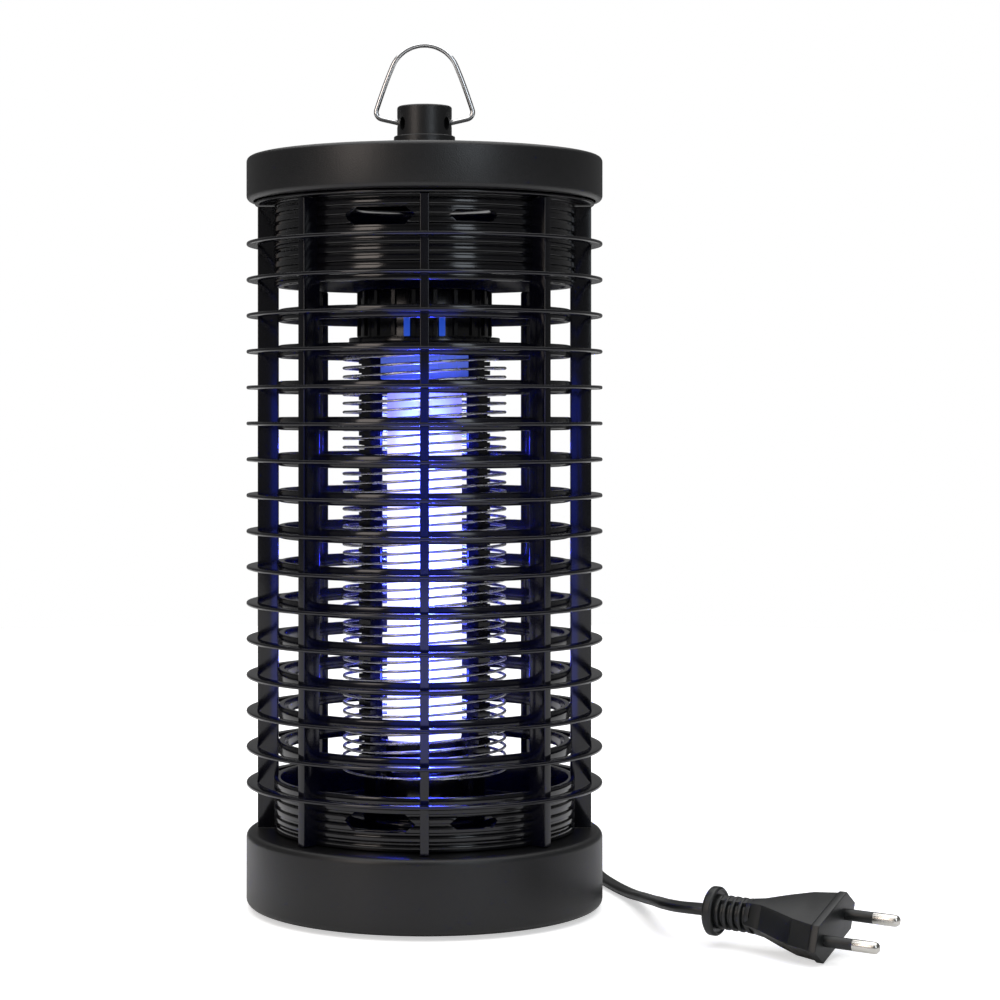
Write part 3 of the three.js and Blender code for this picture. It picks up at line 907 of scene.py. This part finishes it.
low, high = span("lamp_tube")
lamp_stops = (
    (0.0, (0.95, 0.95, 1.0)), (0.72, (0.80, 0.77, 1.0)), (0.81, (0.62, 0.58, 0.95)),
    (0.88, (0.21, 0.20, 0.66)), (1.0, (0.15, 0.15, 0.56)),
)
lamp_glow = glow("lit phosphor", lamp_stops, 1.3, low.z, high.z)
LEG_R = 6.0
LEG_X = high.x - LEG_R
BRIDGE_R = 3.5
bm = bmesh.new()
for side in (-1, 1):
    leg = [(0, low.z, 0), (LEG_R, low.z, LEG_R - 0.05), (LEG_R, high.z, 0), (0, high.z, 0)]
    spin_at(bm, softened(leg, 8), 48, Matrix.Translation((side * LEG_X * MM, 0, 0)))
bridge_place = Matrix.Translation((0, 0, (low.z + LEG_R) * MM)) @ Matrix.Rotation(math.pi / 2, 4, "Y")
rod(bm, BRIDGE_R, 2 * LEG_X, bridge_place)
bmesh.ops.remove_doubles(bm, verts=bm.verts, dist=1e-6)
bmesh.ops.recalc_face_normals(bm, faces=bm.faces)
rough = to_object("lamp legs", bm)
remesh = rough.modifiers.new("skin", "REMESH")
remesh.mode = "VOXEL"
remesh.voxel_size = 0.7 * MM
polish = rough.modifiers.new("polish", "CORRECTIVE_SMOOTH")
polish.iterations = 6
polish.use_only_smooth = True
bm = add_shape(bmesh.new(), rough)
piece("lamp_glass", bm, lamp_glow, "lamp", ("lamp_tube",), sharp=60)

# %% Lamp cap and light windows
low, high = span("lamp_cap")
# The lamp's plastic cap is not a lamp. Its blue emission is painted light, the lamp's glow on it, brightest a
# little below its middle.
painted_cap_light_stops = ((0.0, (0.02, 0.05, 0.35)), (0.45, (0.08, 0.13, 0.52)), (1.0, (0.04, 0.08, 0.35)))
cap_painted_light = glow("cap plastic with painted lamp light", painted_cap_light_stops, 0.9, low.z, high.z)
cap_painted_light.node_tree.nodes["Principled BSDF"].inputs["Base Color"].default_value = (0.05, 0.06, 0.08, 1)
bm = bmesh.new()
size = high - low
block(bm, size, (low + high) / 2)
for side in (-1, 1):
    for i in range(5):
        block(bm, (1.2, 0.5, size.z - 3), ((i - 2) * 5.6, side * (size.y / 2 - 0.1), (low.z + high.z) / 2))
soften_edges(bm, 0.5, 2)
piece("lamp_cap_moulding", bm, cap_painted_light, "lamp", ("lamp_cap",))

# The windows in the lamp holder are not lamps either. Their blue emission is painted light, the lamp's glow
# seen through them, brighter low down.
painted_window_light_stops = ((0.0, (0.03, 0.12, 0.75)), (1.0, (0.01, 0.05, 0.5)))
window_painted_light = glow("windows with painted lamp light", painted_window_light_stops, 0.7, PLATE_Z, PLATE_Z + 14)
window_painted_light.node_tree.nodes["Principled BSDF"].inputs["Base Color"].default_value = (0.01, 0.02, 0.1, 1)
bm = bmesh.new()
for turn in (0, math.pi):
    for x in (-6.3, 6.3):
        block(bm, (2.2, 1.4, 9), (x, -HOLDER_R - 0.1, PLATE_Z + 7.6), Matrix.Rotation(turn, 4, "Z"))
soften_edges(bm, 0.3, 2)
piece("light_windows", bm, window_painted_light, "base")

# %% [markdown]
# ## Floor and light
#
# A round pale floor under a pale sky takes a soft contact shadow. The floor glows a little and the sky is
# white for the camera alone, so both look white while the sky lights the lantern only dimly. A warm panel on
# the left and a cooler one on the right give the highlights, and a wide panel overhead lights the top and
# the floor. Six small deep blue lamps in front of and behind the tubes light the wires and the rings. A blue
# panel close in front lights only the rings and ribs, and stands for the glow that the lamp throws on them.

# %% Floor
bm = bmesh.new()
bmesh.ops.create_circle(bm, cap_ends=True, segments=96, radius=1.2)
floor = to_object("floor", bm)
floor_paint = bpy.data.materials.new("floor paint")
floor_paint.use_nodes = True
floor_nodes = floor_paint.node_tree.nodes
paint = floor_nodes["Principled BSDF"]
paint.inputs["Base Color"].default_value = (0.9, 0.9, 0.9, 1)
paint.inputs["Roughness"].default_value = 0.5
paint.inputs["Specular IOR Level"].default_value = 0.2
paint.inputs["Emission Color"].default_value = (1, 1, 1, 1)
eye = floor_nodes.new("ShaderNodeLightPath")
lift = floor_nodes.new("ShaderNodeMath")
lift.operation = "MULTIPLY"
lift.inputs[1].default_value = 0.56
floor_paint.node_tree.links.new(eye.outputs["Is Camera Ray"], lift.inputs[0])
floor_paint.node_tree.links.new(lift.outputs[0], paint.inputs["Emission Strength"])
floor.data.materials.append(floor_paint)


# %% Lights
def panel(name, size, place, target, power, colour, only=()):
    """A soft light panel that faces a target. It lights only the given pieces, if there are any."""
    data = bpy.data.lights.new(name, "AREA")
    data.shape = "RECTANGLE"
    data.size, data.size_y = size
    data.energy = power
    data.color = colour
    light = bpy.data.objects.new(name, data)
    light.location = place
    light.rotation_euler = (Vector(target) - Vector(place)).to_track_quat("-Z", "Y").to_euler()
    bpy.context.scene.collection.objects.link(light)
    if only:
        receivers = bpy.data.collections.new(name + " receivers")
        for obj in only:
            receivers.objects.link(obj)
        light.light_linking.receiver_collection = receivers
    return light


MIDDLE = (0, 0, 0.15)
TUBE_LIGHT_Y = 13
TUBE_LIGHT_R = 4
panel("left softbox", (0.4, 0.7), (-0.78, -0.82, 0.6), MIDDLE, 3.2, (1.0, 0.88, 0.80))
panel("right softbox", (0.3, 0.7), (0.56, -0.98, 0.6), MIDDLE, 2.2, (0.84, 0.92, 1.0))
panel("top panel", (2.6, 2.6), (0, 0.2, 1.7), (0, 0.2, 0), 42, (1, 1, 1))
cage_pieces = [bpy.data.objects[name] for name in ("cage_rings", "cage_inner_rings", "cage_ribs")]
panel("blue glow", (0.12, 0.176), (0, -0.15, 0.119), (0, 0, 0.119), 0.13, (0.01, 0.05, 1.0), cage_pieces)
for z in (80, 125, 170):
    for side in (-1, 1):
        data = bpy.data.lights.new("tube light", "POINT")
        data.energy = 0.18
        data.color = (0.03, 0.05, 1.0)
        data.shadow_soft_size = TUBE_LIGHT_R * MM
        light = bpy.data.objects.new("tube light", data)
        light.location = (0, side * TUBE_LIGHT_Y * MM, z * MM)
        bpy.context.scene.collection.objects.link(light)

# %% Sky
world = bpy.data.worlds.new("sky")
bpy.context.scene.world = world
world.use_nodes = True
sky_nodes = world.node_tree.nodes
sky_links = world.node_tree.links
sky = sky_nodes["Background"]
seen = sky_nodes.new("ShaderNodeBackground")
sky.inputs["Color"].default_value = (1, 1, 1, 1)
sky.inputs["Strength"].default_value = 0.14
seen.inputs["Color"].default_value = (1, 1, 1, 1)
seen.inputs["Strength"].default_value = 1.0
path = sky_nodes.new("ShaderNodeLightPath")
blend = sky_nodes.new("ShaderNodeMixShader")
sky_links.new(path.outputs["Is Camera Ray"], blend.inputs["Fac"])
sky_links.new(sky.outputs["Background"], blend.inputs[1])
sky_links.new(seen.outputs["Background"], blend.inputs[2])
sky_links.new(blend.outputs["Shader"], sky_nodes["World Output"].inputs["Surface"])
bpy.context.scene.view_settings.view_transform = "Standard"
